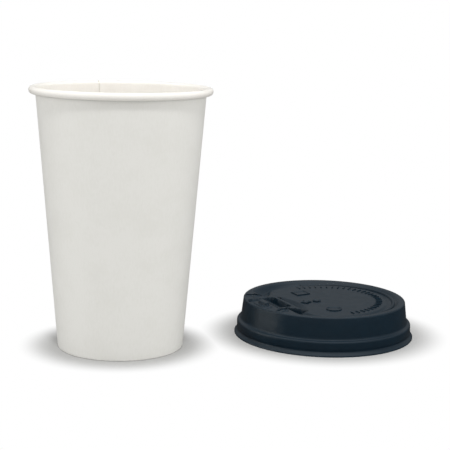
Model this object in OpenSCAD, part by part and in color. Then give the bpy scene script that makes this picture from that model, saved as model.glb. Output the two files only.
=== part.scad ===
// Takeaway hot-drink cup: a tapered paperboard sidewall with a rolled rim and a folded foot,
// a recessed paperboard floor, and a thermoformed sip lid with a tab that folds back.
// The lid lies flat on the same surface, beside the cup.

/* [Cup] */
// Height of the cup from the table to the top of the rim
cup_h = 130; // [100:1:160]
// Outside diameter of the rolled rim
rim_d = 90; // [86:0.5:96]
// Outside diameter of the foot
foot_d = 63; // [54:0.5:70]
// Thickness of the sidewall's paperboard
board_t = 0.4; // [0.3:0.05:0.5]
// Outside diameter of the roll at the rim
roll_d = 3.6; // [3:0.1:4.4]
// How far the rim's roll turns round on itself
roll_sweep = 290; // [250:5:300]
// Width of the glued overlap down the side, at the rim
lap_w = 8; // [5:0.5:12]
// Where the overlap starts, counted from the right-hand side
lap_turn = 97; // [0:1:340]

/* [Floor] */
// Height of the floor above the table
floor_h = 9; // [7:0.5:16]
// Thickness of the floor's paperboard
floor_t = 0.35; // [0.25:0.05:0.45]
// Bend radius where the floor turns down into its skirt
floor_bend = 1; // [0.6:0.1:2]
// Layer of sealing film between two plies
seal_t = 0.04; // [0.02:0.01:0.08]

/* [Lid] */
// Height of the lid's drinking deck above the table
lid_h = 19; // [17:0.5:24]
// Thickness of the formed sheet
sheet_t = 0.5; // [0.35:0.05:0.6]
// Clearance between the lid's seat and the cup's rim
rim_fit = 0.15; // [0.05:0.05:0.3]
// How far the snap ring under the rim reaches in
snap = 0.5; // [0.3:0.1:0.8]
// How far the skirt's lower edge flares out
flare = 1.3; // [0.6:0.1:1.8]
// Taper of the raised crown's side, as a change of radius
crown_taper = 1.2; // [0.6:0.1:2]
// Width of the flat ring round the sunk panel
ring_w = 3.4; // [2.6:0.1:4.4]
// Depth of the sunk panel at the back
panel_back = 1; // [0.7:0.1:1.5]
// Depth of the sunk panel at the front
panel_front = 3.4; // [2.8:0.1:4.2]
// Radius of the raised plate in the panel
plate_r = 32.5; // [30:0.5:33.5]
// Depth of the raised plate at the back
plate_back = 0.6; // [0.3:0.1:0.6]
// Depth of the raised plate at the front
plate_front = 1.8; // [1.2:0.1:2.4]
// Half width of the rib round the back of the top
rib_r = 0.9; // [0.7:0.05:1.2]

/* [Trough] */
// Width of the trough behind the bridge
trough_w = 32.6; // [24:0.2:34]
// Length of the trough, along the tab
trough_l = 4.2; // [3.6:0.1:5]
// How far the trough lies below the front of the panel
trough_deep = 0.8; // [0.4:0.1:2]
// Rise of the scooped edge behind the trough
scoop = 3.3; // [2:0.1:4]
// Length of the bridge between the two sides of the panel
bridge_w = 35.4; // [34:0.2:40]
// Width of the bridge, from the pocket to the trough
bridge_l = 2.1; // [1.6:0.1:3]

/* [Tab] */
// Width of the tab that folds back
tab_w = 20.6; // [17:0.2:22]
// Depth at which the tab lies under the deck
tab_sink = 0.9; // [0.6:0.1:1.2]
// Slit between the tab and the lid
slit = 0.3; // [0.2:0.05:0.4]
// Ledge round the tab's opening
ledge = 0.4; // [0.3:0.05:0.6]
// Length of the tab, from its hinge line to its outer end
tab_l = 9.4; // [8.5:0.05:11]
// Width of the tab's raised pad
pad_w = 13; // [10:0.2:14]
// Flat edge of the tab beyond its raised pad
pad_edge = 1.65; // [1.2:0.05:2.4]
// Height of the tab's raised pad
pad_h = 0.5; // [0.3:0.1:0.7]
// Width of the locking knob
knob_w = 8.6; // [6:0.2:10]
// Length of the locking knob, along the tab
knob_l = 4; // [2.8:0.1:4.4]
// Height of the locking knob above the pad
knob_h = 1.5; // [1:0.1:1.7]

/* [Resting place of the lid] */
// Place of the lid's axis to the right of the cup's axis
lid_x = 107; // [100:1:140]
// Place of the lid's axis behind the cup's axis
lid_y = 20; // [-20:1:60]
// Turn of the lid; at zero the tab points to the front
lid_turn = -70; // [-180:1:180]

/* [Hidden] */
$fn = 96;
paper = "#f1eee6";
paper_inside = "#f6f1e8";
plastic = "#20262d";

// Reach of shapes that only cut or bound others
far = 60;
// How much bigger the rounded end of a form is than the form, so that the two surfaces cross
proud = 0.04;

// The cup's wall in section: wall_up runs up the wall, and wall_in points into the cup, square to it
roll_r = roll_d / 2;
rim_r = rim_d / 2;
foot_r = foot_d / 2;
roll_c = [rim_r - roll_r, cup_h - roll_r];
to_roll = roll_c - [foot_r, 0];
wall_a = 90 - atan2(to_roll[1], to_roll[0]) - asin((roll_r - board_t) / norm(to_roll));
wall_up = [sin(wall_a), cos(wall_a)];
wall_in = [-cos(wall_a), sin(wall_a)];
fold_gap = floor_t + 2 * seal_t;
fold_r = fold_gap / 2 + board_t;
// Depth by which the fold is pressed flat where it stands on the table
foot_press = 0.03;
fold_c = [foot_r, -foot_press] + wall_up * fold_r * (1 - sin(wall_a)) / cos(wall_a) + wall_in * fold_r;
wall_l = (roll_c - fold_c) * wall_up;
// Room between the end of the folded board and the floor above it
tuck_gap = 0.6;
tuck_l = (floor_h - floor_t - floor_bend - tuck_gap - fold_c[1]) / cos(wall_a);
roll_steps = 24;
fold_steps = 8;

// Points along an arc of radius r round c, from angle a to angle b
function arc(c, r, a, b, steps) = [
    for (i = [0:steps]) let (t = a + (b - a) * i / steps) c + r * [cos(t), sin(t)]
];

// Unit vector square to the step from p to q, on its left
function left_of(p, q) = [p[1] - q[1], q[0] - p[0]] / norm(q - p);

// Mitred vector square to an open line at its point i
function mitre(line, i) =
    let (
        a = left_of(line[max(i - 1, 0)], line[max(i - 1, 0) + 1]),
        b = left_of(line[min(i, len(line) - 2)], line[min(i, len(line) - 2) + 1])
    )
    (a + b) / (1 + a * b);

// The open line moved to its left by d
function moved(line, d) = [for (i = [0:len(line) - 1]) line[i] + d * mitre(line, i)];

function turned_back(line) = [for (i = [len(line) - 1:-1:0]) line[i]];

// Section of a sheet that follows an open line, between two distances to the line's left
module sheet_section(line, near, far_side) {
    polygon(concat(moved(line, near), turned_back(moved(line, far_side))));
}

// Section of the sidewall: foot folded in and up and pressed flat below, wall, and rolled rim
module sidewall_section() {
    fold_mid = fold_r - board_t / 2;
    line = concat(
        [fold_c + wall_in * fold_mid + wall_up * tuck_l],
        arc(fold_c, fold_mid, 180 - wall_a, 360 - wall_a, fold_steps),
        arc(roll_c, roll_r - board_t / 2, 180 - wall_a, 180 - wall_a - roll_sweep, roll_steps)
    );
    intersection() {
        sheet_section(line, -board_t / 2, board_t / 2);
        square([2 * rim_r, 2 * cup_h]);
    }
}

// Outer ply of the glued overlap. Its edge stands one board proud of the wall, and it comes down to
// the wall again beyond the inner ply. It stops a little short of the foot and of the roll.
module lap() {
    fade_w = 3;
    lap_a = (lap_w + fade_w) / rim_r * 180 / PI;
    shift = board_t / (1 - cos(lap_a));
    foot = fold_c - wall_in * fold_r + wall_up * board_t;
    head = foot + wall_up * (wall_l - 2 * board_t);
    high = head[1] - foot[1];
    over = 1;
    root = board_t / 2;
    rotate([0, 0, lap_turn]) translate([0, 0, foot[1]]) difference() {
        intersection() {
            translate([shift, 0, 0])
                cylinder(h = high, r1 = foot[0] + board_t - shift, r2 = head[0] + board_t - shift);
            cube([2 * rim_r, 2 * lap_w, high]);
        }
        translate([0, 0, -over]) cylinder(
            h = high + 2 * over,
            r1 = foot[0] - root - over * tan(wall_a),
            r2 = head[0] - root + over * tan(wall_a)
        );
    }
}

module cup_sidewall() {
    color(paper) union() {
        rotate_extrude() sidewall_section();
        lap();
    }
}

module cup_floor() {
    bend_mid = floor_bend + floor_t / 2;
    bend_z = floor_h - floor_t - floor_bend;
    skirt_end = fold_c + wall_up * (bend_z - fold_c[1]) / cos(wall_a);
    bend_c = skirt_end + wall_in * bend_mid;
    line = concat([[0, bend_c[1] + bend_mid]], arc(bend_c, bend_mid, 90, -wall_a, fold_steps), [fold_c]);
    color(paper_inside) rotate_extrude() sheet_section(line, -floor_t / 2, floor_t / 2);
}

// Outside of the lid from its lower edge to the edge of the deck
seat_r = rim_r + rim_fit + sheet_t;
flare_r = seat_r + flare;
lip_h = 0.6;
// Heights of the snap ring, of the seat's lower edge and of its upper edge
neck_z = 2.4;
seat_z = 3.2;
seat_top = seat_z + roll_d - 0.4;
// Round shoulder over the seat, and the chamfer at the foot of the crown
shoulder_r = 1.1;
foot_chamfer = 0.35;
crown_foot = [seat_r - 2, seat_top + 1.6];
// Round edge between the crown and the deck
edge_r = 0.9;
crown_r = crown_foot[0] - crown_taper;
side_line = concat(
    [[flare_r, 0], [flare_r, lip_h], [seat_r - snap, neck_z], [seat_r, seat_z]],
    arc([seat_r - shoulder_r, seat_top], shoulder_r, 0, 75, 5),
    [crown_foot + foot_chamfer * [1, -1], crown_foot + foot_chamfer * [0, 1]],
    arc([crown_r - edge_r, lid_h - edge_r], edge_r, 8, 90, 5)
);

// Slopes of the panel's outer wall, the plate's side and the scoop, as run over rise
wall_run = 1;
plate_run = 1.6;
scoop_run = 1.8;
panel_r = crown_r - ring_w;
plate_corner = 5;
// Distance from the panel's wall to the rib's middle
rib_inset = 2.75;
rib_place = panel_r - rib_inset;
// How far the rib's axis lies under the panel
rib_sunk = 0.4;

// The tab's end leaves a narrow flat edge between its recess and the crown's round edge
flat_edge = 0.15;
tab_end_r = crown_r - edge_r - slit / 2 - ledge - flat_edge;
tab_corner = 3;
hinge_r = tab_end_r - tab_l;
// Height of the hinge's axis over the tab's surface
axis_lift = 0.1;

// Sizes along the tab, counted from the hinge line
knob_mid = 4.05;
pad_near = 1.7;
pad_l = tab_l - pad_near - pad_edge;
pad_corner = 1.6;
// Clearance between the folded knob and the pocket
knob_gap = 0.4;
knob_top = pad_h + knob_h - axis_lift;
pocket_near = knob_mid - knob_l / 2 - knob_gap;
pocket_far = norm([knob_mid + knob_l / 2, knob_top]) + knob_gap;
pocket_deep = tab_sink + knob_top + knob_gap;
pocket_w = tab_w + 0.6;
pocket_corner = 2.4;
// Solid edge of the bridge on each side of the pocket
neck_edge = 1.2;
neck_w = pocket_w + 2 * neck_edge;
// How much narrower the pocket's and the trough's floors are than their tops, on each side
pocket_draft = 0.2;
trough_draft = 0.3;
// How far the scooped edge stays inside the trough's ends
scoop_inset = 0.6;
// How far the tab's recess runs on into the pocket
recess_overlap = 0.3;

// Places from the lid's axis towards the tab: the trough's two edges, the bridge and the front deck
bridge_y = hinge_r - pocket_far - bridge_l;
trough_gap = 0.4;
trough_y = bridge_y - trough_gap - trough_l;
deck_y = hinge_r - 2.6;
panel_tilt = atan((panel_front - panel_back) / (panel_r + deck_y));
plate_tilt = atan((plate_front - plate_back) / (plate_r + trough_y));

// Solid of the crown and skirt, shrunk by the sheet's thickness where e says so
module lid_hull(e) {
    line = moved(side_line, e);
    foot = e > 0 ? [[line[0][0], -1]] : [];
    rotate_extrude() polygon(concat([[0, e > 0 ? -1 : 0]], foot, line, [[0, lid_h - e]]));
}

// Puts its children on a plane that falls towards the front, from deep below the deck at radius r
module on_slope(r, deep, tilt) {
    translate([0, r, lid_h - deep]) rotate([tilt, 0, 0]) translate([0, -r, 0]) children();
}

module above() {
    translate([-far, -far, 0]) cube([2 * far, 2 * far, far]);
}

// Cone of radius r at the deck's height, which widens by run for each unit upwards
module cone(r, run, e) {
    deep = 8;
    high = 2;
    grown = r + e * sqrt(1 + run * run);
    translate([0, 0, lid_h - deep])
        cylinder(h = deep + high, r1 = grown - deep * run, r2 = grown + high * run);
}

// Raised ground at the front: the deck with the bridge that runs in between the two valleys
module deck(e) {
    half_bridge = bridge_w / 2 - e;
    half_neck = neck_w / 2 - e;
    translate([0, 0, -1]) linear_extrude(lid_h + 2) {
        translate([-far, -far - deck_y - e]) square([2 * far, far]);
        polygon([
            [-half_bridge, -bridge_y - e],
            [half_bridge, -bridge_y - e],
            [half_neck, -deck_y + 1 - e],
            [half_neck, -deck_y - 2 - e],
            [-half_neck, -deck_y - 2 - e],
            [-half_neck, -deck_y + 1 - e],
        ]);
    }
}

// Raised plate in the panel, with a sloping side and two round front corners
module plate(e) {
    corner_x = sqrt(pow(plate_r - plate_corner, 2) - pow(trough_y - plate_corner, 2));
    corner_y = trough_y - plate_corner;
    deep = 5;
    grow = deep * plate_run;
    shrink = e * sqrt(1 + plate_run * plate_run);
    corner_r = plate_corner + proud - shrink;
    difference() {
        translate([0, 0, lid_h - plate_back - deep]) union() {
            intersection() {
                cylinder(h = deep, r1 = plate_r + grow - shrink, r2 = plate_r - shrink);
                linear_extrude(deep) polygon([
                    [0, 0],
                    [3 * corner_x, -3 * corner_y],
                    [3 * corner_x, far],
                    [-3 * corner_x, far],
                    [-3 * corner_x, -3 * corner_y],
                ]);
            }
            for (x = [-corner_x, corner_x]) translate([x, -corner_y, 0])
                cylinder(h = deep, r1 = corner_r + grow, r2 = corner_r);
            rotate([90, 0, 90]) linear_extrude(2 * corner_x, center = true) polygon([
                [-trough_y - grow + shrink, 0],
                [0, 0],
                [0, deep],
                [-trough_y + shrink, deep],
            ]);
        }
        on_slope(plate_r, plate_back + e, plate_tilt) above();
    }
}

// The sunk panel, which falls towards the front, round the plate and up to the deck
module panel(e) {
    difference() {
        intersection() {
            cone(panel_r, wall_run, e);
            on_slope(panel_r, panel_back + e, panel_tilt) above();
        }
        deck(e);
        plate(e);
    }
}

// A recess with sloping walls, open at the top: w by l at height z and deep below it
module drafted(w, l, z, deep, slope, e) {
    top_w = w + 2 * e;
    top_l = l + 2 * e;
    floor_w = top_w - 2 * slope;
    floor_l = top_l - 2 * slope;
    over = lid_h + 2 - z;
    intersection() {
        rotate([90, 0, 0]) linear_extrude(top_l, center = true) polygon([
            [-floor_w / 2, z - deep - e],
            [floor_w / 2, z - deep - e],
            [top_w / 2, z],
            [top_w / 2, z + over],
            [-top_w / 2, z + over],
            [-top_w / 2, z],
        ]);
        rotate([90, 0, 90]) linear_extrude(top_w, center = true) polygon([
            [-floor_l / 2, z - deep - e],
            [floor_l / 2, z - deep - e],
            [top_l / 2, z],
            [top_l / 2, z + over],
            [-top_l / 2, z + over],
            [-top_l / 2, z],
        ]);
    }
}

// Long trough behind the bridge, with the plate's edge scooped down to it in an arc
module trough(e) {
    scoop_half = trough_w / 2 - scoop_inset;
    arc_r = (scoop_half * scoop_half + scoop * scoop) / (2 * scoop);
    side = scoop_half + proud + e;
    translate([0, -trough_y - trough_l / 2, 0])
        drafted(trough_w, trough_l, lid_h - panel_front, trough_deep, trough_draft, e);
    intersection() {
        translate([0, -trough_y + scoop - arc_r, -plate_front]) cone(arc_r, scoop_run, e);
        translate([-side, -trough_y - 1, 0]) cube([2 * side, far, 2 * lid_h]);
    }
}

// Pocket that the tab's knob presses into when it is folded back, with two round corners
module pocket(e) {
    corner = pocket_corner + e;
    corner_x = pocket_w / 2 + e - corner;
    l = pocket_far - pocket_near;
    corner_y = l / 2 + e - corner;
    translate([0, -hinge_r + pocket_near + l / 2, 0]) intersection() {
        drafted(pocket_w, l, lid_h, pocket_deep, pocket_draft, e);
        linear_extrude(lid_h + 2) union() {
            translate([-pocket_w, corner_y - 2 * l]) square([2 * pocket_w, 2 * l]);
            translate([-corner_x, -l]) square([2 * corner_x, 2 * l]);
            for (x = [-corner_x, corner_x]) translate([x, corner_y]) circle(r = corner, $fn = 48);
        }
    }
}

// Plan of the tab, with round outer corners and its end along the lid's edge
module tab_plan(grow, inner_y) {
    w = tab_w + 2 * grow;
    end_r = tab_end_r + grow;
    corner_y = sqrt(pow(end_r - tab_corner, 2) - pow(w / 2 - tab_corner, 2));
    intersection() {
        circle(r = end_r);
        union() {
            translate([-w / 2, -corner_y]) square([w, corner_y - inner_y]);
            translate([-w / 2 + tab_corner, -end_r]) square([w - 2 * tab_corner, end_r - inner_y]);
            for (side = [-1, 1]) translate([side * (w / 2 - tab_corner), -corner_y]) circle(r = tab_corner);
        }
    }
}

// Shallow recess that the tab lies in
module tab_seat(e) {
    translate([0, 0, lid_h - tab_sink - e]) linear_extrude(far)
        tab_plan(slit / 2 + ledge + e, hinge_r - pocket_near - recess_overlap);
}

// Rib round the back of the top, with round ends
module rib(e) {
    sweep = 164;
    end_r = rib_r - e + proud;
    on_slope(panel_r, panel_back, panel_tilt) difference() {
        translate([0, 0, -rib_sunk]) rotate([0, 0, 90 - sweep / 2]) union() {
            rotate_extrude(angle = sweep) translate([rib_place, 0]) circle(r = rib_r - e, $fn = 32);
            for (a = [0, sweep]) rotate([0, 0, a]) translate([rib_place, 0, 0]) sphere(r = end_r, $fn = 32);
        }
        translate([0, 0, -far - e - proud]) above();
    }
}

module lid_form(e) {
    difference() {
        lid_hull(e);
        panel(e);
        trough(e);
        pocket(e);
        tab_seat(e);
    }
    rib(e);
}

module lid_shell() {
    color(plastic) difference() {
        lid_form(0);
        lid_form(sheet_t);
        translate([0, 0, lid_h / 2]) linear_extrude(lid_h) tab_plan(slit / 2, hinge_r - slit / 2);
    }
}

// Raised pad of the tab, and the knob on it
module tab_raised(e) {
    w = pad_w - 2 * e;
    l = pad_l - 2 * e;
    r = pad_corner - e;
    tab_z = lid_h - tab_sink - e;
    root = 0.2;
    translate([0, -hinge_r - pad_near - pad_l / 2, tab_z - root]) linear_extrude(pad_h + root) union() {
        square([w - 2 * r, l], center = true);
        square([w, l - 2 * r], center = true);
        for (x = [-1, 1], y = [-1, 1])
            translate([x * (w / 2 - r), y * (l / 2 - r)]) circle(r = r, $fn = 32);
    }
    translate([0, -hinge_r - knob_mid, tab_z + pad_h - root]) linear_extrude(knob_h + root) union() {
        square([knob_w - knob_l, knob_l - 2 * e], center = true);
        for (x = [-1, 1]) translate([x * (knob_w - knob_l) / 2, 0]) circle(r = knob_l / 2 - e, $fn = 48);
    }
}

module lid_tab() {
    color(plastic) difference() {
        union() {
            translate([0, 0, lid_h - tab_sink - sheet_t]) linear_extrude(sheet_t)
                tab_plan(-slit / 2, hinge_r + slit / 2);
            tab_raised(0);
        }
        tab_raised(sheet_t);
    }
}

module lid_place() {
    translate([lid_x, lid_y, 0]) rotate([0, 0, lid_turn]) children();
}

cup_sidewall();
cup_floor();
lid_place() lid_shell();
lid_place() lid_tab();
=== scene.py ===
"""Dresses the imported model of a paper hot-drink cup and its sip lid.

The sidewall is one board wound round and glued over itself, rolled out at the rim and folded in at the
foot. The lid is one thin sheet drawn over a mould, so its top is made as a field of heights with soft
edges. Lengths in the code are in millimetres until a mesh is filled, and in metres in the studio.
"""

import math

import bpy
import numpy as np
from bpy.props import FloatProperty, FloatVectorProperty, IntProperty, PointerProperty
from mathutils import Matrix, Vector


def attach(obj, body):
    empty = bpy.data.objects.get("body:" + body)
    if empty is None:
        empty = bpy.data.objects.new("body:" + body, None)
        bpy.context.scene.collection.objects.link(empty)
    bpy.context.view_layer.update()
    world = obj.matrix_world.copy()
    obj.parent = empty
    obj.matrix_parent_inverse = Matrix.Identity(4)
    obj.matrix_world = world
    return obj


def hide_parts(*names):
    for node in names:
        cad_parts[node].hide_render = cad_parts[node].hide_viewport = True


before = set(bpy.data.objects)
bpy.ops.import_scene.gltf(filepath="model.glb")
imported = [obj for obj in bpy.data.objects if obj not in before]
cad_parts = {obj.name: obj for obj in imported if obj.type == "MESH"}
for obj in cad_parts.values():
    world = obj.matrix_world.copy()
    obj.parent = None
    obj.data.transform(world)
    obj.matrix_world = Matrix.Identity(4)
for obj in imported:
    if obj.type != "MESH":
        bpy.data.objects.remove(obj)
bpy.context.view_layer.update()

bl_info = {
    "name": "Takeaway cup with sip lid",
    "version": (1, 0, 0),
    "blender": (4, 5, 0),
    "location": "View3D > Sidebar > Takeaway cup",
    "description": "Dresses the packed model of a paper hot-drink cup and its lid with a fold-back tab",
    "category": "Object",
}

MM = 0.001
CUP_BODY = "cup_and_lid"
TAB_BODY = "tab"


def linear(hex_colour):
    """Linear RGBA of an sRGB hex colour."""
    parts = [int(hex_colour[i : i + 2], 16) / 255 for i in (1, 3, 5)]
    return tuple(p / 12.92 if p <= 0.04045 else ((p + 0.055) / 1.055) ** 2.4 for p in parts) + (1.0,)


def length(name, description, millimetres):
    """A length property that is given in millimetres."""
    return FloatProperty(name=name, description=description, default=millimetres * MM, unit="LENGTH")


def turn(name, description, degrees):
    """An angle property that is given in degrees."""
    return FloatProperty(name=name, description=description, default=math.radians(degrees), subtype="ANGLE")


def face_count(name, description, number):
    """A number of faces across the top of the lid."""
    return IntProperty(name=name, description=description, default=number, min=40)


def colour(name, description, hex_colour):
    """A colour property that is given as sRGB hex."""
    return FloatVectorProperty(
        name=name, description=description, default=linear(hex_colour), subtype="COLOR", size=4, min=0, max=1
    )


class CupSizes(bpy.types.PropertyGroup):
    """Sizes of the paper cup."""

    height: length("Height", "From the table to the top of the rim", 130)
    rim_d: length("Rim", "Outside diameter of the rolled rim", 90)
    foot_d: length("Foot", "Outside diameter of the foot", 63)
    board_t: length("Board", "Thickness of the sidewall's board", 0.4)
    roll_d: length("Roll", "Outside diameter of the roll at the rim", 3.6)
    roll_sweep: turn("Roll sweep", "How far the roll turns round on itself", 290)
    floor_h: length("Floor height", "Height of the floor above the table", 9)
    floor_t: length("Floor board", "Thickness of the floor's board", 0.35)
    lap_turn: turn("Seam", "Direction of the outer ply's edge, from +X", 97)
    lap_sweep: turn("Overlap", "How far the two plies lie on each other", 9)


class LidSizes(bpy.types.PropertyGroup):
    """Sizes of the formed lid."""

    place_x: length("Place X", "Place of the lid's axis to the right of the cup's", 107)
    place_y: length("Place Y", "Place of the lid's axis behind the cup's", 20)
    lid_turn: turn("Turn", "Turn of the lid; at zero the tab points to the front", -70)
    deck_h: length("Deck", "Height of the drinking deck above the table", 19)
    sheet_t: length("Sheet", "Thickness of the formed sheet", 0.5)
    seat_r: length("Seat", "Outside radius of the skirt where the cup's rim sits", 45.65)
    outer_faces: face_count("Outer faces", "Faces across the outside's top", 200)
    inner_faces: face_count("Inner faces", "Faces across the inside's top", 104)


class Finish(bpy.types.PropertyGroup):
    """Colours of the pieces and of the studio."""

    board_outside: colour("Board outside", "Clay-coated outside of the board", "#eeede8")
    board_inside: colour("Board inside", "Film-coated inside of the board", "#fcf9f3")
    board_edge: colour("Board edge", "Cut edge of the board", "#dcd6c9")
    plastic: colour("Plastic", "Formed polystyrene sheet of the lid", "#091d29")
    floor: colour("Floor", "Studio floor", "#c1c1c0")


class Studio(bpy.types.PropertyGroup):
    """The camera's place and lens."""

    camera_y: length("Distance", "How far the camera stands in front of the cup's axis", 601)
    camera_z: length("Height", "Height of the camera above the table", 171)
    yaw: turn("Yaw", "Turn of the camera to the right", 4.75)
    roll: turn("Roll", "Roll of the camera that stands the cup upright in the frame", 1.1)
    pitch: turn("Pitch", "Tilt of the camera down", 10.3)
    lens: FloatProperty(name="Lens", description="Focal length in millimetres", default=97.7, subtype="NONE")


def settings(group):
    """The scene's property group of that name."""
    return getattr(bpy.context.scene, group)


def millimetres(group):
    """The lengths of a property group in millimetres, by name."""
    return {
        name: getattr(group, name) / MM
        for name in group.bl_rna.properties.keys()
        if name not in ("rna_type", "name") and isinstance(getattr(group, name), float)
    }


# Materials

# A Mix node repeats its sockets' names for each type, so they are taken by number
NUMBER_A, NUMBER_B, NUMBER_OUT = 2, 3, 0
COLOUR_A, COLOUR_B, COLOUR_OUT = 6, 7, 2


def new_material(name):
    """An empty node material with its node tree."""
    material = bpy.data.materials.new(name)
    material.use_nodes = True
    material.node_tree.nodes.clear()
    return material, material.node_tree


def add_node(tree, kind, inputs=None, **options):
    """Adds a node. An input that is given another node's output is linked to it."""
    node = tree.nodes.new(kind)
    for key, value in options.items():
        setattr(node, key, value)
    for key, value in (inputs or {}).items():
        if isinstance(value, bpy.types.NodeSocket):
            tree.links.new(value, node.inputs[key])
        else:
            node.inputs[key].default_value = value
    return node


def object_place(tree):
    """The shaded point's place on the object."""
    return add_node(tree, "ShaderNodeTexCoord").outputs["Object"]


def calculate(tree, operation, first, second):
    """The result of a sum, product or the like of two numbers."""
    return add_node(tree, "ShaderNodeMath", {0: first, 1: second}, operation=operation).outputs["Value"]


def noise(tree, place, size_mm, detail, roughness):
    """Noise from 0 to 1 with a pattern of about that size."""
    inputs = {"Vector": place, "Scale": 1 / (size_mm * MM), "Detail": detail, "Roughness": roughness}
    return add_node(tree, "ShaderNodeTexNoise", inputs).outputs["Fac"]


def ramp(tree, value, start, end, low, high, interpolation="LINEAR"):
    """A value that goes from low to high while another one goes from start to end."""
    inputs = {"Value": value, "From Min": start, "From Max": end, "To Min": low, "To Max": high}
    return add_node(tree, "ShaderNodeMapRange", inputs, interpolation_type=interpolation).outputs["Result"]


def mix_colours(tree, share, first, second):
    """A colour between two others."""
    inputs = {0: share, COLOUR_A: first, COLOUR_B: second}
    return add_node(tree, "ShaderNodeMix", inputs, data_type="RGBA").outputs[COLOUR_OUT]


def mix_numbers(tree, share, first, second):
    """A number between two others."""
    inputs = {0: share, NUMBER_A: first, NUMBER_B: second}
    return add_node(tree, "ShaderNodeMix", inputs, data_type="FLOAT").outputs[NUMBER_OUT]


def bump(tree, height, depth_mm, strength):
    """A normal that shows a pattern of that depth."""
    inputs = {"Height": height, "Distance": depth_mm * MM, "Strength": strength}
    return add_node(tree, "ShaderNodeBump", inputs).outputs["Normal"]


def finish_material(tree, surface):
    """Links a shader to the material's output."""
    add_node(tree, "ShaderNodeOutputMaterial", {"Surface": surface})


def board_material(name, base, shade, roughness, coat, fibre_depth_mm):
    """Cup board: cloudy white with faint fibres that run up the cup, under a thin film."""
    cloud_mm, fibre_mm, fibre_stretch = 14, 0.9, 0.35
    material, tree = new_material(name)
    place = object_place(tree)
    stretched = add_node(tree, "ShaderNodeMapping", {"Vector": place, "Scale": (1, 1, fibre_stretch)})
    clouds = noise(tree, place, cloud_mm, 3.0, 0.55)
    fibres = noise(tree, stretched.outputs["Vector"], fibre_mm, 4.0, 0.6)
    spread = ramp(tree, calculate(tree, "MULTIPLY", clouds, fibres), 0.05, 0.3, 0.0, 1.0)
    shader = add_node(
        tree,
        "ShaderNodeBsdfPrincipled",
        {
            "Base Color": mix_colours(tree, spread, shade, base),
            "Roughness": roughness,
            "IOR": 1.5,
            "Coat Weight": coat,
            "Coat Roughness": 0.35,
            "Normal": bump(tree, fibres, fibre_depth_mm, 0.5),
        },
    )
    finish_material(tree, shader.outputs["BSDF"])
    return material


def board_outside():
    """Clay-coated board, calendered: an even matt white that lets the form's soft shade read."""
    base = settings("finish").board_outside
    return board_material(
        "clay_coated_board", base, linear("#e9e8e2"), roughness=0.6, coat=0.05, fibre_depth_mm=0.006
    )


def board_inside():
    """Board under a polyethylene film: a warmer white with a soft gloss near the rim."""
    base = settings("finish").board_inside
    return board_material(
        "film_coated_board", base, linear("#f8f4ed"), roughness=0.42, coat=0.25, fibre_depth_mm=0.005
    )


def board_edge():
    """Cut edge of the board: bare fibres, a little darker and quite matt."""
    base = settings("finish").board_edge
    return board_material(
        "cut_board", base, linear("#c8c0b0"), roughness=0.85, coat=0.0, fibre_depth_mm=0.05
    )


def lid_plastic():
    """High-impact polystyrene sheet, vacuum-formed: blue-black and glossy, slightly wavy."""
    wave_mm, wave_depth_mm, rub_mm = 6, 0.03, 4
    material, tree = new_material("formed_polystyrene")
    place = object_place(tree)
    waves = noise(tree, place, wave_mm, 2.0, 0.5)
    rub = noise(tree, place, rub_mm, 2.0, 0.5)
    shader = add_node(
        tree,
        "ShaderNodeBsdfPrincipled",
        {
            "Base Color": mix_colours(tree, waves, settings("finish").plastic, linear("#0d2330")),
            "Roughness": ramp(tree, rub, 0.3, 0.7, 0.3, 0.36),
            "IOR": 1.57,
            "Coat Weight": 0.0,
            "Normal": bump(tree, waves, wave_depth_mm, 0.3),
        },
    )
    finish_material(tree, shader.outputs["BSDF"])
    return material


# Mesh helpers


def active_only(piece):
    """Selects one object and makes it the active one."""
    bpy.ops.object.select_all(action="DESELECT")
    piece.select_set(True)
    bpy.context.view_layer.objects.active = piece


def points_of(piece):
    """The places of a mesh's vertices, in millimetres."""
    places = np.empty(len(piece.data.vertices) * 3)
    piece.data.vertices.foreach_get("co", places)
    return places.reshape(-1, 3) / MM


def put_points(piece, places):
    """Sets the places of a mesh's vertices, in millimetres."""
    piece.data.vertices.foreach_set("co", (np.asarray(places, float) * MM).ravel())
    piece.data.update()


def apply_modifier(piece, kind, **values):
    """Adds a modifier with those settings and applies it."""
    active_only(piece)
    modifier = piece.modifiers.new(kind.lower(), kind)
    for key, value in values.items():
        setattr(modifier, key, value)
    bpy.ops.object.modifier_apply(modifier=modifier.name)


def twin(piece):
    """A copy of a piece with its own mesh."""
    copy = piece.copy()
    copy.data = piece.data.copy()
    bpy.context.collection.objects.link(copy)
    return copy


def close_sheet(outside, inside, edge_material=0):
    """Joins the two sides of a sheet, the second one turned over, and closes them along their borders."""
    inside.data.flip_normals()
    active_only(outside)
    inside.select_set(True)
    bpy.ops.object.join()
    faces = len(outside.data.polygons)
    bpy.ops.object.mode_set(mode="EDIT")
    bpy.ops.mesh.select_mode(type="EDGE")
    bpy.ops.mesh.select_all(action="DESELECT")
    bpy.ops.mesh.select_non_manifold()
    bpy.ops.mesh.bridge_edge_loops()
    bpy.ops.object.mode_set(mode="OBJECT")
    for face in outside.data.polygons[faces:]:
        face.material_index = edge_material


def smooth(piece, degrees):
    """Smooth shading, with edges sharper than that angle kept crisp."""
    active_only(piece)
    bpy.ops.object.shade_smooth_by_angle(angle=math.radians(degrees))


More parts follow.
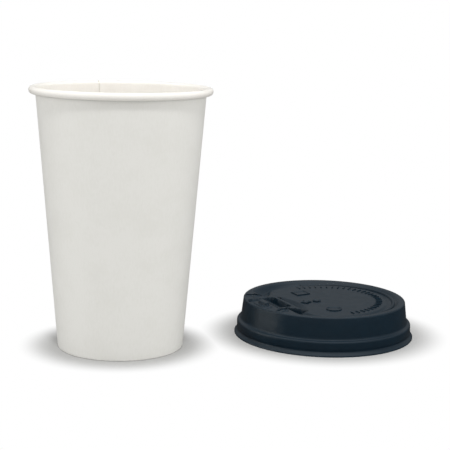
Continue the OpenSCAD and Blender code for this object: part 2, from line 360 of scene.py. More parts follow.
def section_line(name, line):
    """A chain of edges in the XZ plane, extruded point by point from a plane merged to its centre."""
    bpy.ops.object.select_all(action="DESELECT")
    bpy.ops.mesh.primitive_plane_add(size=MM, location=(0, 0, 0))
    piece = bpy.context.active_object
    piece.name = name
    bpy.ops.object.mode_set(mode="EDIT")
    bpy.ops.mesh.select_all(action="SELECT")
    bpy.ops.mesh.merge(type="CENTER")
    bpy.ops.transform.translate(value=(line[0][0] * MM, 0, line[0][1] * MM))
    for start, end in zip(line, line[1:]):
        step = ((end[0] - start[0]) * MM, 0, (end[1] - start[1]) * MM)
        bpy.ops.mesh.extrude_region_move(TRANSFORM_OT_translate={"value": step})
    bpy.ops.object.mode_set(mode="OBJECT")
    return piece


def spin_round(piece, steps, degrees):
    """Spins all of a mesh about the cup's axis."""
    active_only(piece)
    bpy.ops.object.mode_set(mode="EDIT")
    bpy.ops.mesh.select_all(action="SELECT")
    bpy.ops.mesh.spin(steps=steps, angle=math.radians(degrees), center=(0, 0, 0), axis=(0, 0, 1))
    bpy.ops.object.mode_set(mode="OBJECT")


def recalculate_normals(piece):
    """Turns all faces outwards."""
    active_only(piece)
    bpy.ops.object.mode_set(mode="EDIT")
    bpy.ops.mesh.select_all(action="SELECT")
    bpy.ops.mesh.normals_make_consistent(inside=False)
    bpy.ops.object.mode_set(mode="OBJECT")


def arc_points(centre, radius, start, end, steps):
    """Points along an arc, angles in radians."""
    turns = np.linspace(start, end, steps + 1)
    return [(centre[0] + radius * math.cos(t), centre[1] + radius * math.sin(t)) for t in turns]


def soft_step(t):
    """0 to 1 with level ends, for t from 0 to 1."""
    t = np.clip(t, 0, 1)
    return t * t * t * (t * (6 * t - 15) + 10)


def soft_min(a, b, blend):
    """The lower of two fields, rounded where they meet over that height."""
    h = np.maximum(blend - np.abs(a - b), 0) / blend
    return np.minimum(a, b) - h * h * blend / 4


def soft_max(a, b, blend):
    """The higher of two fields, rounded where they meet over that height."""
    return -soft_min(-a, -b, blend)


def inside_share(distance, inset, run):
    """1 inside an outline and 0 outside it, with a soft wall of that run set in by the inset."""
    return soft_step(0.5 - (distance + inset) / run)


def both_halves(half):
    """A line in the plan from its right half, mirrored to the left."""
    return half + [(-x, y) for x, y in reversed(half)]


# Cup


def wall_lines(cup):
    """The sidewall's middle line, from its edge tucked in over the floor's skirt to the end of the roll."""
    foot_r, rim_r, roll_r = cup["foot_d"] / 2, cup["rim_d"] / 2, cup["roll_d"] / 2
    board_t = cup["board_t"]
    seal_t, tuck_gap = 0.04, 1.6
    tuck_steps, fold_steps, wall_steps, roll_steps = 3, 12, 33, 44
    roll_c = np.array([rim_r - roll_r, cup["height"] - roll_r])
    to_roll = roll_c - (foot_r, 0)
    wall_a = math.pi / 2 - math.atan2(to_roll[1], to_roll[0])
    wall_a -= math.asin((roll_r - board_t) / np.linalg.norm(to_roll))
    up = np.array([math.sin(wall_a), math.cos(wall_a)])
    inward = np.array([-math.cos(wall_a), math.sin(wall_a)])
    fold_mid = (cup["floor_t"] + 2 * seal_t + board_t) / 2
    fold_r = fold_mid + board_t / 2
    fold_c = np.array([foot_r, 0]) + up * fold_r * (1 - math.sin(wall_a)) / math.cos(wall_a)
    fold_c = fold_c + inward * fold_r
    tuck_l = (cup["floor_h"] - cup["floor_t"] - tuck_gap - fold_c[1]) / math.cos(wall_a)
    tuck = [fold_c + inward * fold_mid + up * tuck_l * t for t in np.linspace(1, 0, tuck_steps + 1)[:-1]]
    fold = arc_points(fold_c, fold_mid, math.pi - wall_a, 2 * math.pi - wall_a, fold_steps)
    start = np.array(fold[-1])
    roll_start = math.pi - wall_a
    roll = arc_points(roll_c, roll_r - board_t / 2, roll_start, roll_start - cup["roll_sweep"], roll_steps)
    wall = [start + (np.array(roll[0]) - start) * t for t in np.linspace(0, 1, wall_steps + 1)[1:-1]]
    return [tuple(p) for p in tuck] + fold + [tuple(p) for p in wall] + roll


def ply_offset(turns):
    """How far the outer ply stands out, as a share of the board, by the turn round the cup."""
    fade = math.radians(4.5)
    return soft_step((turns - (2 * math.pi - fade)) / fade)


class TAKEAWAY_OT_sidewall(bpy.types.Operator):
    """Wind the sidewall from one board, with its glued overlap, rolled rim and folded foot"""

    bl_idname = "takeaway.sidewall"
    bl_label = "Wind the sidewall"

    def execute(self, context):
        cup = millimetres(context.scene.cup)
        cup["roll_sweep"] = context.scene.cup.roll_sweep
        lap = context.scene.cup.lap_sweep
        line = wall_lines(cup)
        count = len(line)
        steps, glue_t = 216, 0.02
        piece = section_line("cup_sidewall_board", line)
        spin_round(piece, steps, 360 + math.degrees(lap))
        places = points_of(piece)
        # Spinning adds one copy of the line after another, so a vertex's turn is its row
        row = np.arange(len(places)) // count
        along = np.arange(len(places)) % count
        turns = row / steps * (2 * math.pi + lap)
        half = cup["board_t"] / 2
        under = (cup["board_t"] + glue_t) * ply_offset(turns)
        angle = context.scene.cup.lap_turn + lap - turns
        for material in (board_outside(), board_inside(), board_edge()):
            piece.data.materials.append(material)
        inner = twin(piece)
        for side, distance in ((piece, -half), (inner, half)):
            near = offset_line(line, distance)[along]
            far = offset_line(line, distance - 1)[along]
            section = near + (far - near) * under[:, None]
            radius, height = section[:, 0], np.maximum(section[:, 1], 0)
            put_points(side, np.stack([radius * np.cos(angle), radius * np.sin(angle), height], 1))
        inside_slot, edge_slot = 1, 2
        inner.data.polygons.foreach_set("material_index", [inside_slot] * len(inner.data.polygons))
        close_sheet(piece, inner, edge_slot)
        smooth(piece, 40)
        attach(piece, CUP_BODY)
        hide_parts("cup_sidewall")
        return {"FINISHED"}


class TAKEAWAY_OT_floor(bpy.types.Operator):
    """Finish the cup's recessed floor"""

    bl_idname = "takeaway.floor"
    bl_label = "Finish the floor"

    def execute(self, context):
        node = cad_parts["cup_floor"]
        node.data.materials.clear()
        node.data.materials.append(bpy.data.materials["film_coated_board"])
        return {"FINISHED"}


# Lid


class LidForm:
    """Heights of the lid's outside over its own plan, with the tab towards -Y, in millimetres.

    Depths go down from the deck. hinge_r, deck_y, bridge_y and trough_y are distances from the lid's axis
    towards the tab. An edge is its inset from the outline and the run of its wall, and a blend is how softly
    two surfaces meet.
    """

    def __init__(self, lid):
        self.deck = lid["deck_h"]
        self.sheet = lid["sheet_t"]
        self.seat_r = lid["seat_r"]
        # Crown: its foot's step in from the seat, its taper, and the round of its upper edge
        seat_step, crown_taper, deck_ring = 2, 1.2, 3.4
        self.crown_foot = self.seat_r - seat_step
        self.crown_r = self.crown_foot - crown_taper
        self.edge_r = 0.9
        # Sunk panel inside the deck's ring, which slopes down towards the front, and its wall to the deck
        self.panel_r = self.crown_r - deck_ring
        self.panel_back, self.panel_front = 1.0, 3.4
        self.wall_foot_blend, self.wall_top_blend = 0.9, 0.7
        # Raised plate on the panel, with the run of its side for each millimetre of height
        self.plate_r, self.plate_back, self.plate_front = 32.5, 0.6, 1.8
        self.plate_corner, self.plate_run = 5.0, 1.6
        self.plate_top_blend, self.plate_foot_blend = 0.35, 0.3
        # Trough in front of the plate, deeper than the panel
        self.trough_w, self.trough_l, self.trough_deep = 32.6, 4.2, 0.8
        self.trough_corner, self.trough_edge = 0.8, (0.15, 0.8)
        # Scoop in the plate's front edge: an arc's depth, and its run for each millimetre of height
        self.scoop, self.scoop_run, self.scoop_blend = 3.3, 1.8, 0.3
        self.scoop_inset, self.scoop_reach = 0.6, 2
        self.scoop_end_rise, self.scoop_end_inset, self.scoop_end_run = 6, 0.2, 1.6
        # Bridge between the trough and the pocket
        self.bridge_w, self.bridge_l = 35.4, 2.1
        self.bridge_edge = (0, 0.9)
        # Tab in its recess, with the slit round it and the ledge of the recess outside the slit
        self.tab_l = 9.4
        self.tab_w, self.tab_sink, self.slit, self.ledge = 20.6, 0.9, 0.3, 0.4
        self.tab_corner = 3.0
        self.recess_edge = (0.05, 0.7)
        crown_gap, hinge_gap = 0.15, 2.6
        self.tab_end_r = self.crown_r - self.edge_r - self.slit / 2 - self.ledge - crown_gap
        self.hinge_r = self.tab_end_r - self.tab_l
        self.deck_y = self.hinge_r - hinge_gap
        # Pad and knob on the tab, placed from the hinge by the pad's near edge and the knob's middle
        self.pad_w, self.pad_l, self.pad_h, self.pad_near, self.pad_corner = 13.0, 6.05, 0.5, 1.7, 1.6
        self.pad_edge = (0.25, 0.7)
        self.knob_w, self.knob_l, self.knob_h, self.knob_mid = 8.6, 4.0, 1.5, 4.05
        self.knob_inset, self.knob_run, self.knob_run_more = 0.35, 0.8, 0.7
        # Pocket for the knob of the folded tab, placed from the hinge, with room round knob and tab
        clearance, side_room, knob_sunk = 0.4, 0.6, 0.1
        knob_top = self.pad_h + self.knob_h - knob_sunk
        self.pocket_near = self.knob_mid - self.knob_l / 2 - clearance
        self.pocket_far = math.hypot(self.knob_mid + self.knob_l / 2, knob_top) + clearance
        self.pocket_deep = self.tab_sink + knob_top + clearance
        self.pocket_w, self.pocket_corner = self.tab_w + side_room, 0.6
        self.pocket_edge = (0.2, 0.9)
        # Neck of the front deck beside the pocket, and what follows from the places above
        neck_more, trough_gap = 2.4, 0.4
        self.neck_w, self.neck_back, self.neck_front = self.pocket_w + neck_more, 1, 2
        self.bridge_y = self.hinge_r - self.pocket_far - self.bridge_l
        self.trough_y = self.bridge_y - trough_gap - self.trough_l
        self.panel_fall = (self.panel_front - self.panel_back) / (self.panel_r + self.deck_y)
        self.plate_fall = (self.plate_front - self.plate_back) / (self.plate_r + self.trough_y)

    def box(self, x, y, cx, cy, w, l, corner):
        """Distance to a rectangle with round corners, below zero inside."""
        qx = np.abs(x - cx) - w / 2 + corner
        qy = np.abs(y - cy) - l / 2 + corner
        return np.hypot(np.maximum(qx, 0), np.maximum(qy, 0)) + np.minimum(np.maximum(qx, qy), 0) - corner

    def polygon(self, x, y, points):
        """Distance to a closed outline, below zero inside."""
        best = np.full(np.shape(x), np.inf)
        inside = np.zeros(np.shape(x), bool)
        for (ax, ay), (bx, by) in zip(points, points[1:] + points[:1]):
            ex, ey = bx - ax, by - ay
            t = np.clip(((x - ax) * ex + (y - ay) * ey) / (ex * ex + ey * ey), 0, 1)
            best = np.minimum(best, np.hypot(x - ax - t * ex, y - ay - t * ey))
            if ay != by:
                crosses = ((ay > y) != (by > y)) & (x < ex * (y - ay) / ey + ax)
                inside ^= crosses
        return np.where(inside, -best, best)

    def tab_distance(self, x, y, grow):
        """Distance to the tab's outline at its outer end and sides."""
        sides = np.abs(x) - (self.tab_w / 2 + grow)
        end = np.hypot(x, y) - (self.tab_end_r + grow)
        corner = self.tab_corner
        inner = np.minimum(np.maximum(sides + corner, end + corner), 0)
        return np.hypot(np.maximum(sides + corner, 0), np.maximum(end + corner, 0)) + inner - corner

    def plate_distance(self, x, y):
        """Distance to the raised plate's outline, below zero inside."""
        corner = self.plate_corner
        ring = np.hypot(x, y) - self.plate_r + corner
        front = -self.trough_y + corner - y
        outside = np.hypot(np.maximum(ring, 0), np.maximum(front, 0))
        return outside + np.minimum(np.maximum(ring, front), 0) - corner

    def scooped(self, x, y):
        """Height of the scoop, which rises backwards from an arc behind the trough."""
        half = self.trough_w / 2 - self.scoop_inset
        arc_r = (half * half + self.scoop * self.scoop) / (2 * self.scoop)
        centre_y = -self.trough_y + self.scoop - arc_r
        z = self.deck - self.plate_front + (np.hypot(x, y - centre_y) - arc_r) / self.scoop_run
        z = np.maximum(z, self.deck - self.panel_front - self.trough_deep)
        past_end = (np.abs(x) - half + self.scoop_end_inset) / self.scoop_end_run
        return z + self.scoop_end_rise * soft_step(past_end)

    def front_deck(self, x, y):
        """Distance to the front deck with the bridge on its back, below zero inside."""
        half = [
            (self.bridge_w / 2, -self.bridge_y),
            (self.neck_w / 2, -self.deck_y + self.neck_back),
            (self.neck_w / 2, -self.deck_y - self.neck_front),
        ]
        return np.minimum(self.polygon(x, y, both_halves(half)), y + self.deck_y)

    def ground(self, x, y):
        """Deck, sunk panel, raised plate, scoop, bridge and trough."""
        floor = self.deck - self.panel_back - (self.panel_r - y) * self.panel_fall
        top = self.deck - self.plate_back - (self.plate_r - y) * self.plate_fall
        side = self.deck - self.plate_back - self.plate_distance(x, y) / self.plate_run
        plate = soft_min(top, side, self.plate_top_blend)
        z = soft_max(floor, plate, self.plate_foot_blend)
        behind = y > -self.trough_y - self.scoop_reach
        z = np.where(behind, soft_min(z, self.scooped(x, y), self.scoop_blend), z)
        wall = self.deck + (np.hypot(x, y) - self.panel_r)
        z = soft_max(z, wall, self.wall_foot_blend)
        z = soft_min(z, np.full_like(z, self.deck), self.wall_top_blend)
        z = z + (self.deck - z) * inside_share(self.front_deck(x, y), *self.bridge_edge)
        trough_mid = -self.trough_y - self.trough_l / 2
        trough = self.box(x, y, 0, trough_mid, self.trough_w, self.trough_l, self.trough_corner)
        bottom = self.deck - self.panel_front - self.trough_deep
        return z + (np.minimum(bottom, z) - z) * inside_share(trough, *self.trough_edge)

    def raised_lines(self):
        """Beads on the top: points, half width, half height, depth of their middle, and sides in section."""
        rib_r, rib_sweep, rib_steps = self.panel_r - 2.75, math.radians(82), 120
        rib = arc_points((0, 0), rib_r, math.pi / 2 - rib_sweep, math.pi / 2 + rib_sweep, rib_steps)
        lines = [(rib, 0.9, 1.1, 0.25, 12)]
        fine = (0.62, 0.46, 0.04, 4)
        # An arrow on each side of the tab that shows which way it folds
        arrow = both_halves([(0, 4.3), (3.2, 0.5), (1.4, 0.5), (1.4, -3.6)])
        for side in (-1, 1):
            lines.append((moved_line(arrow, (side * 17.0, -33.4), side * math.radians(27)), *fine))
        # A round button and a pointer from it to the pocket
        lines.append((arc_points((0, -4.4), 2.2, 0, 2 * math.pi, 36), 0.7, 0.5, 0.04, 4))
        lines.append((both_halves([(0, -13.9), (3, -10.6), (1.3, -10.6), (1.3, -8.2)]), *fine))
        # A plain frame and a plain ring
        half = 3.8
        square = [(-half, -half), (half, -half), (half, half), (-half, half), (-half, -half)]
        lines.append((moved_line(square, (-18.3, -4.2), 0), *fine))
        lines.append((arc_points((18.5, -4.4), 4.0, 0, 2 * math.pi, 48), *fine))
        # Short bars round the plate's back
        bars_each_side, bar_pitch, bar_ends = 14, 6.4, (27.2, 30.6)
        for k in range(-bars_each_side, bars_each_side + 1):
            turned = math.radians(90 + bar_pitch * k)
            lines.append(([(r * math.cos(turned), r * math.sin(turned)) for r in bar_ends], *fine))
        return lines

    def creases(self, x, y):
        """Depth of the fine grooves across the tab's crease, beside its hinge."""
        start, pitch, half_w, groove_run = 0.1, 0.5, 0.08, 0.16
        band_mid, band_half, band_run = 0.85, 0.75, 0.2
        depth = 0.16
        from_hinge = y + self.hinge_r
        groove = np.abs((from_hinge - start) % pitch - pitch / 2) - half_w
        band = np.maximum(np.abs(from_hinge - band_mid) - band_half, np.abs(x) - self.tab_w / 2)
        return depth * inside_share(groove, 0, groove_run) * inside_share(band, 0, band_run)

    def heights(self, x, y, with_creases=True):
        """Height of the lid's outside surface."""
        z = self.ground(x, y)
        mid = (self.pocket_near + self.pocket_far) / 2
        pocket_l = self.pocket_far - self.pocket_near
        pocket = self.box(x, y, 0, -self.hinge_r + mid, self.pocket_w, pocket_l, self.pocket_corner)
        round_tab = self.tab_distance(x, y, self.slit / 2 + self.ledge)
        recess = np.maximum(round_tab, y + self.hinge_r - self.pocket_near)
        z = z - self.tab_sink * inside_share(recess, *self.recess_edge)
        z = z + (self.deck - self.pocket_deep - z) * inside_share(pocket, *self.pocket_edge)
        if with_creases:
            z = z - self.creases(x, y)
        return z

    def tab_heights(self, x, y):
        """Height of the tab's outside surface, with its pad and knob."""
        z = np.full_like(x, self.deck - self.tab_sink)
        pad_y = -self.hinge_r - self.pad_near - self.pad_l / 2
        pad = self.box(x, y, 0, pad_y, self.pad_w, self.pad_l, self.pad_corner)
        z = z + self.pad_h * inside_share(pad, *self.pad_edge)
        knob_y = -self.hinge_r - self.knob_mid
        knob = self.box(x, y, 0, knob_y, self.knob_w, self.knob_l, self.knob_l / 2 - 0.01)
        # Its wall is steep towards the hinge and gentler towards the tab's end
        run = self.knob_run + self.knob_run_more * soft_step((knob_y - y) / self.knob_l)
        return z + self.knob_h * inside_share(knob, self.knob_inset, run)

    def underside(self, field, x, y):
        """Height of the inside surface, one sheet under the outside, measured square to it."""
        spokes = 12
        lowest = field(x, y) - self.sheet
        for share in (0.5, 0.8, 0.97):
            reach = self.sheet * share
            drop = self.sheet * math.sqrt(1 - share * share)
            for k in range(spokes):
                turned = 2 * math.pi * k / spokes
                moved = field(x + reach * math.cos(turned), y + reach * math.sin(turned))
                lowest = np.minimum(lowest, moved - drop)
        return lowest

    def shell_underside(self, x, y):
        """Height of the shell's inside; the fine creases don't reach it."""
        return self.underside(lambda px, py: self.heights(px, py, False), x, y)

    def side_line(self):
        """Outside of the lid from the deck's edge down to the lower edge."""
        seat_r, crown_foot, edge_r = self.seat_r, self.crown_foot, self.edge_r
        seat_z, seat_h, shoulder_h, shoulder_r = 3.2, 3.2, 1.6, 1.1
        snap, flare = 0.47, 1.3
        seat_top = seat_z + seat_h
        foot_z = seat_top + shoulder_h
        edge = arc_points((self.crown_r - edge_r, self.deck - edge_r), edge_r, math.pi / 2, 0.14, 7)[1:]
        crown = [(crown_foot - 0.12, foot_z + 1.2), (crown_foot - 0.05, foot_z + 0.5)]
        cove = [
            (crown_foot + 0.08, foot_z + 0.1),
            (crown_foot + 0.35, foot_z - 0.22),
            (crown_foot + 0.7, foot_z - 0.4),
        ]
        shoulder = arc_points((seat_r - shoulder_r, seat_top), shoulder_r, math.radians(82), 0, 7)
        seat = [(seat_r, seat_top - 0.8), (seat_r, seat_z + 0.5)]
        # In to the snap ring under the seat, and out to the flared lower edge
        ring = [
            (seat_r - 0.1, seat_z + 0.05),
            (seat_r - 0.3, 2.75),
            (seat_r - snap, 2.4),
            (seat_r - 0.38, 2.1),
            (seat_r + 0.1, 1.6),
            (seat_r + 0.75, 1.0),
            (seat_r + 1.15, 0.7),
            (seat_r + flare, 0.5),
            (seat_r + flare, 0.0),
        ]
        middle = [tuple(np.array(edge[-1]) + (np.array(crown[0]) - edge[-1]) * t) for t in (0.33, 0.66)]
        return edge + middle + crown + cove + shoulder + seat + ring


def moved_line(line, place, turned):
    """A line in the plan, turned and then moved to its place."""
    c, s = math.cos(turned), math.sin(turned)
    return [(place[0] + x * c - y * s, place[1] + x * s + y * c) for x, y in line]


def fine_line(line, step):
    """The same line with points no further apart than that step."""
    fine = []
    for start, end in zip(line, line[1:]):
        count = max(1, math.ceil(math.dist(start, end) / step))
        fine += [tuple(np.array(start) + (np.array(end) - start) * k / count) for k in range(count)]
    return fine + [tuple(line[-1])]


def bead(form, line, radius, height, deep, sides):
    """A bead along a line on the lid's top, with its underside kept inside the sheet."""
    step, root = 0.6, 0.3
    fine = fine_line(line, step)
    bpy.ops.object.select_all(action="DESELECT")
    bpy.ops.mesh.primitive_circle_add(vertices=sides, radius=radius * MM, fill_type="NGON")
    piece = bpy.context.active_object
    bpy.ops.object.mode_set(mode="EDIT")
    bpy.ops.mesh.select_all(action="SELECT")
    for _ in fine[1:]:
        bpy.ops.mesh.extrude_region_move(TRANSFORM_OT_translate={"value": (0, 0, MM)})
    bpy.ops.object.mode_set(mode="OBJECT")
    centres = np.array(fine)
    forward = np.gradient(centres, axis=0)
    forward /= np.linalg.norm(forward, axis=1)[:, None]
    left = np.stack([-forward[:, 1], forward[:, 0]], 1)
    # Each extrusion adds one ring of vertices after the last
    index = np.arange(len(piece.data.vertices))
    ring = index // sides
    around = index % sides / sides * 2 * math.pi
    x, y = (centres[ring] + left[ring] * (radius * np.cos(around))[:, None]).T
    top = form.heights(*centres.T, False)[ring]
    z = np.maximum(top - deep + height * np.sin(around), top - root)
    put_points(piece, np.stack([x, y, z], 1))
    recalculate_normals(piece)
    return piece


def spaced(count, stretches):
    """Places from -1 to 1, closer together by a ratio in each stretch given as low, high, ratio."""
    samples = 4001
    grid = np.linspace(-1, 1, samples)
    middle = (grid[1:] + grid[:-1]) / 2
    density = np.ones_like(middle)
    for low, high, ratio in stretches:
        density = np.where((middle > low) & (middle < high), ratio, density)
    total = np.concatenate([[0], np.cumsum(density)])
    return np.interp(np.linspace(0, total[-1], count), total, grid)


def place_lid(piece, sizes):
    """Moves a piece of the lid from the lid's own plan to where the lid lies."""
    c, s = math.cos(sizes.lid_turn), math.sin(sizes.lid_turn)
    x, y, z = points_of(piece).T
    placed_x = sizes.place_x / MM + x * c - y * s
    placed_y = sizes.place_y / MM + x * s + y * c
    put_points(piece, np.stack([placed_x, placed_y, z], 1))


def finish_lid_piece(piece, sizes, material, degrees):
    """Puts a piece of the lid in its place, with the lid's plastic and smooth shading."""
    place_lid(piece, sizes)
    piece.data.materials.clear()
    piece.data.materials.append(material)
    smooth(piece, degrees)


def offset_line(line, distance):
    """An open line moved to its left by that distance."""
    points = np.array(line, float)
    step = np.diff(points, axis=0)
    step /= np.linalg.norm(step, axis=1)[:, None]
    left = np.stack([-step[:, 1], step[:, 0]], 1)
    first = np.vstack([left[:1], left])
    last = np.vstack([left, left[-1:]])
    mitre = (first + last) / (1 + (first * last).sum(1))[:, None]
    return points + distance * mitre


def cutter(name, outline):
    """A closed prism over an outline in the lid's plan, which reaches right through the lid's top."""
    low, high = 10, 25
    bpy.ops.object.select_all(action="DESELECT")
    bpy.ops.mesh.primitive_circle_add(vertices=len(outline), radius=MM, fill_type="NGON")
    piece = bpy.context.active_object
    piece.name = name
    put_points(piece, [(x, y, low) for x, y in outline])
    bpy.ops.object.mode_set(mode="EDIT")
    bpy.ops.mesh.select_all(action="SELECT")
    bpy.ops.mesh.extrude_region_move(TRANSFORM_OT_translate={"value": (0, 0, (high - low) * MM)})
    bpy.ops.object.mode_set(mode="OBJECT")
    recalculate_normals(piece)
    return piece


def tab_outline(form, grow, inner_y):
    """Outline of the tab in the lid's plan."""
    half = form.tab_w / 2 + grow
    end_r = form.tab_end_r + grow
    corner = form.tab_corner
    corner_y = math.sqrt((end_r - corner) ** 2 - (half - corner) ** 2)
    corner_turn = math.atan2(corner_y, half - corner)
    right = arc_points((half - corner, -corner_y), corner, 0, -corner_turn, 10)
    end = arc_points((0, 0), end_r, -corner_turn, -math.pi / 2, 16)[1:]
    # The last point of the end lies on the middle, so it has no twin
    half_outline = [(half, -inner_y)] + right + end
    return half_outline + [(-x, y) for x, y in reversed(half_outline[:-1])]


def boolean(piece, other, operation):
    """Cuts a piece by another, which is then deleted."""
    apply_modifier(piece, "BOOLEAN", object=other, operation=operation, solver="EXACT")
    bpy.data.objects.remove(other)


def lid_side(name, form, faces, field, line):
    """One side of the lid's sheet: a round field of heights, and its border extruded down along a line."""
    ring_r = form.crown_r - form.edge_r
    # Faces lie closer together over the trough, the bridge and the tab, and closest over the creases
    closer_across = [(-0.56, 0.56, 1.3)]
    closer_along = [(-1, -0.34, 1.5), (-0.775, -0.695, 3.6)]
    bpy.ops.object.select_all(action="DESELECT")
    bpy.ops.mesh.primitive_grid_add(x_subdivisions=faces, y_subdivisions=faces, size=2)
    side = bpy.context.active_object
    side.name = name
    # The grid spans -1 to 1, whatever the unit
    places = points_of(side) * MM
    across = spaced(faces + 1, closer_across)
    along = spaced(faces + 1, closer_along)
    u = across[np.rint((places[:, 0] + 1) / 2 * faces).astype(int)]
    v = along[np.rint((places[:, 1] + 1) / 2 * faces).astype(int)]
    x = ring_r * u * np.sqrt(1 - v * v / 2)
    y = ring_r * v * np.sqrt(1 - u * u / 2)
    top = np.stack([x, y, field(x, y)], 1)
    put_points(side, top)
    active_only(side)
    bpy.ops.object.mode_set(mode="EDIT")
    bpy.ops.mesh.select_mode(type="EDGE")
    bpy.ops.mesh.select_all(action="DESELECT")
    bpy.ops.mesh.select_non_manifold()
    for _ in line:
        bpy.ops.mesh.extrude_region_move(TRANSFORM_OT_translate={"value": (0, 0, -MM)})
    bpy.ops.object.mode_set(mode="OBJECT")
    skirt = points_of(side)[len(top) :]
    turned = np.arctan2(skirt[:, 1], skirt[:, 0])
    # Each extrusion adds one whole ring of vertices after the last
    radius, height = np.array(line)[np.arange(len(skirt)) * len(line) // len(skirt)].T
    around = np.stack([radius * np.cos(turned), radius * np.sin(turned), height], 1)
    put_points(side, np.vstack([top, around]))
    return side


class TAKEAWAY_OT_lid(bpy.types.Operator):
    """Form the lid's shell from one sheet, with its sunk top, skirt and the opening for the tab"""

    bl_idname = "takeaway.lid"
    bl_label = "Form the lid"

    def execute(self, context):
        sizes = context.scene.lid
        form = LidForm(millimetres(sizes))
        line = form.side_line()
        lower = offset_line([(form.crown_r - form.edge_r, form.deck)] + line, -form.sheet)[1:]
        lower[-1, 1] = 0
        outside = lid_side("lid_shell_sheet", form, sizes.outer_faces, form.heights, line)
        inside = lid_side("lid_inside", form, sizes.inner_faces, form.shell_underside, lower)
        close_sheet(outside, inside)
        opening = cutter("tab_opening", tab_outline(form, form.slit / 2, form.hinge_r - form.slit / 2))
        boolean(outside, opening, "DIFFERENCE")
        finish_lid_piece(outside, sizes, lid_plastic(), 50)
        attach(outside, CUP_BODY)
        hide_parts("lid_shell")
        return {"FINISHED"}


class TAKEAWAY_OT_beads(bpy.types.Operator):
    """Raise the rib, the arrows, the button and the plain marks on the lid's top"""

    bl_idname = "takeaway.beads"
    bl_label = "Raise the lid's lines"

    def execute(self, context):
        sizes = context.scene.lid
        form = LidForm(millimetres(sizes))
        beads = [bead(form, *line) for line in form.raised_lines()]
        active_only(beads[0])
        for other in beads:
            other.select_set(True)
        bpy.ops.object.join()
        piece = beads[0]
        piece.name = "lid_raised_lines"
        finish_lid_piece(piece, sizes, bpy.data.materials["formed_polystyrene"], 60)
        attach(piece, CUP_BODY)
        return {"FINISHED"}


class TAKEAWAY_OT_tab(bpy.types.Operator):
    """Form the tab that folds back, with its pad and locking knob"""

    bl_idname = "takeaway.tab"
    bl_label = "Form the tab"

    def execute(self, context):
        sizes = context.scene.lid
        form = LidForm(millimetres(sizes))
        # A field a little larger than the tab, cut to its outline
        columns, rows, margin = 84, 44, 0.6
        low_y, high_y = -form.tab_end_r - margin, -form.hinge_r + margin
        half = form.tab_w / 2 + margin
        bpy.ops.object.select_all(action="DESELECT")
        bpy.ops.mesh.primitive_grid_add(x_subdivisions=columns, y_subdivisions=rows, size=2)
        piece = bpy.context.active_object
        piece.name = "lid_tab_sheet"
        places = points_of(piece) * MM
        x = places[:, 0] * half
        y = low_y + (places[:, 1] + 1) / 2 * (high_y - low_y)
        put_points(piece, np.stack([x, y, form.tab_heights(x, y)], 1))
        under = twin(piece)
        put_points(under, np.stack([x, y, form.underside(form.tab_heights, x, y)], 1))
        close_sheet(piece, under)
        edge = cutter("tab_edge", tab_outline(form, -form.slit / 2, form.hinge_r + form.slit / 2))
        boolean(piece, edge, "INTERSECT")
        finish_lid_piece(piece, sizes, bpy.data.materials["formed_polystyrene"], 50)
        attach(piece, TAB_BODY)
        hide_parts("lid_tab")
        return {"FINISHED"}


# Studio


def seen_directly(tree, path):
    """1 for rays that come from the camera, also through a clear piece, and 0 for all others."""
    return calculate(tree, "MAXIMUM", path.outputs["Is Camera Ray"], path.outputs["Is Transmission Ray"])


def floor_material():
    """Painted studio floor: pale and matt, and plain white to the camera away from the shadows."""
    fade_start, fade_end = 1 * MM, 21 * MM
    mirrored_level = 0.06
    white = (1, 1, 1, 1)
    material, tree = new_material("painted_floor")
    paint = add_node(
        tree,
        "ShaderNodeBsdfPrincipled",
        {"Base Color": settings("finish").floor, "Roughness": 0.9, "Specular IOR Level": 0.1},
    )
    place = object_place(tree)
    cup, lid = settings("cup"), settings("lid")
    gaps = []
    for x, y, radius in ((0, 0, cup.foot_d / 2), (lid.place_x, lid.place_y, lid.seat_r)):
        measure = add_node(tree, "ShaderNodeVectorMath", {0: place, 1: (x, y, 0)}, operation="DISTANCE")
        gaps.append(calculate(tree, "SUBTRACT", measure.outputs["Value"], radius))
    away = calculate(tree, "MINIMUM", *gaps)
    fade = ramp(tree, away, fade_start, fade_end, 0.0, 1.0, "SMOOTHSTEP")
    path = add_node(tree, "ShaderNodeLightPath")
    share = calculate(tree, "MULTIPLY", fade, seen_directly(tree, path))
    glow = add_node(tree, "ShaderNodeEmission", {"Color": white, "Strength": 1.0}).outputs["Emission"]
    lit = add_node(tree, "ShaderNodeMixShader", {0: share, 1: paint.outputs["BSDF"], 2: glow}).outputs[0]
    dim = add_node(tree, "ShaderNodeEmission", {"Color": white, "Strength": mirrored_level})
    surfaces = {0: path.outputs["Is Glossy Ray"], 1: lit, 2: dim.outputs["Emission"]}
    both = add_node(tree, "ShaderNodeMixShader", surfaces)
    finish_material(tree, both.outputs[0])
    return material


def studio_world(world):
    """Even soft light. The camera sees plain white; the lid mirrors dim walls and a brighter ceiling."""
    ambient = 0.6
    # The mirrored room grows brighter upwards in two steps, each with its start, end and gain
    walls, ceiling = (0.0, 0.2, 0.22), (0.65, 0.95, 0.6)
    world.use_nodes = True
    tree = world.node_tree
    tree.nodes.clear()
    path = add_node(tree, "ShaderNodeLightPath")
    direction = add_node(tree, "ShaderNodeTexCoord").outputs["Generated"]
    height = add_node(tree, "ShaderNodeSeparateXYZ", {"Vector": direction}).outputs["Z"]
    steps = [
        ramp(tree, height, start, end, 0.0, gain, "SMOOTHSTEP") for start, end, gain in (walls, ceiling)
    ]
    room = calculate(tree, "ADD", *steps)
    lighting = mix_numbers(tree, path.outputs["Is Glossy Ray"], ambient, room)
    strength = mix_numbers(tree, seen_directly(tree, path), lighting, 1.0)
    sky = add_node(tree, "ShaderNodeBackground", {"Color": (1, 1, 1, 1), "Strength": strength})
    add_node(tree, "ShaderNodeOutputWorld", {"Surface": sky.outputs["Background"]})
    return world


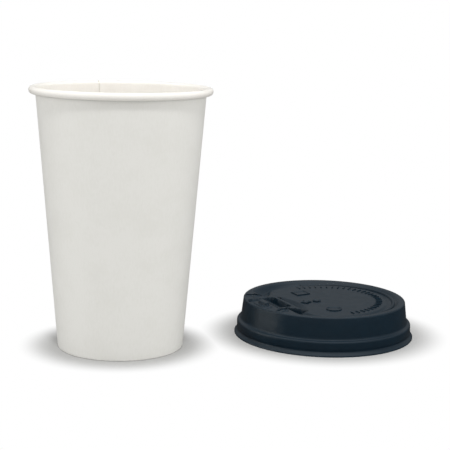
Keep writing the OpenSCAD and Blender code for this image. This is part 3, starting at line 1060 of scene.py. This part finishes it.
def soft_light(name, place, target, size, watts):
    """A square soft box that looks at a point."""
    bpy.ops.object.light_add(type="AREA", location=place)
    lamp = bpy.context.active_object
    lamp.name = name
    lamp.data.shape = "SQUARE"
    lamp.data.size = size
    lamp.data.energy = watts
    lamp.rotation_mode = "QUATERNION"
    lamp.rotation_quaternion = (Vector(target) - Vector(place)).to_track_quat("-Z", "Y")
    # The real lid mirrors no lamp, only a soft room
    lamp.visible_glossy = False


class TAKEAWAY_OT_studio(bpy.types.Operator):
    """Set the pale floor, the soft lights and the camera"""

    bl_idname = "takeaway.studio"
    bl_label = "Set the studio"

    def execute(self, context):
        scene = context.scene
        floor_size = 8
        bpy.ops.object.select_all(action="DESELECT")
        bpy.ops.mesh.primitive_plane_add(size=floor_size, location=(0, 0, 0))
        floor = bpy.context.active_object
        floor.name = "studio_floor"
        floor.data.materials.append(floor_material())
        cup_middle, table = (0.03, 0, 0.06), (0.03, 0.02, 0)
        soft_light("left_box", place=(-1.06, -0.4, 0.4), target=cup_middle, size=0.6, watts=3.4)
        soft_light("right_box", place=(1.14, -0.4, 0.4), target=cup_middle, size=0.6, watts=3.6)
        soft_light("front_box", place=(0.08, -0.74, 1.2), target=cup_middle, size=0.2, watts=5.2)
        soft_light("top_box", place=(0.03, 0.02, 1.4), target=table, size=0.2, watts=4.0)
        scene.world = studio_world(scene.world or bpy.data.worlds.new("studio"))
        studio = scene.studio
        bpy.ops.object.camera_add(
            location=(0, -studio.camera_y, studio.camera_z),
            rotation=(math.pi / 2 - studio.pitch, -studio.roll, -studio.yaw),
        )
        camera = bpy.context.active_object
        camera.data.lens = studio.lens
        scene.camera = camera
        scene.view_settings.view_transform = "Standard"
        return {"FINISHED"}


class VIEW3D_PT_takeaway(bpy.types.Panel):
    """Lists the cup's operators"""

    bl_label = "Takeaway cup"
    bl_idname = "VIEW3D_PT_takeaway"
    bl_space_type = "VIEW_3D"
    bl_region_type = "UI"
    bl_category = "Takeaway cup"

    def draw(self, context):
        for operator in OPERATORS:
            self.layout.operator(operator.bl_idname)


GROUPS = {"cup": CupSizes, "lid": LidSizes, "finish": Finish, "studio": Studio}
OPERATORS = (
    TAKEAWAY_OT_sidewall,
    TAKEAWAY_OT_floor,
    TAKEAWAY_OT_lid,
    TAKEAWAY_OT_beads,
    TAKEAWAY_OT_tab,
    TAKEAWAY_OT_studio,
)
CLASSES = tuple(GROUPS.values()) + OPERATORS + (VIEW3D_PT_takeaway,)


def register():
    for item in CLASSES:
        bpy.utils.register_class(item)
    for name, group in GROUPS.items():
        setattr(bpy.types.Scene, name, PointerProperty(type=group))


def unregister():
    for name in GROUPS:
        delattr(bpy.types.Scene, name)
    for item in reversed(CLASSES):
        bpy.utils.unregister_class(item)


def main():
    """Builds the pieces and the studio."""
    register()
    bpy.ops.takeaway.sidewall()
    bpy.ops.takeaway.floor()
    bpy.ops.takeaway.lid()
    bpy.ops.takeaway.beads()
    bpy.ops.takeaway.tab()
    bpy.ops.takeaway.studio()


if __name__ == "__main__":
    main()
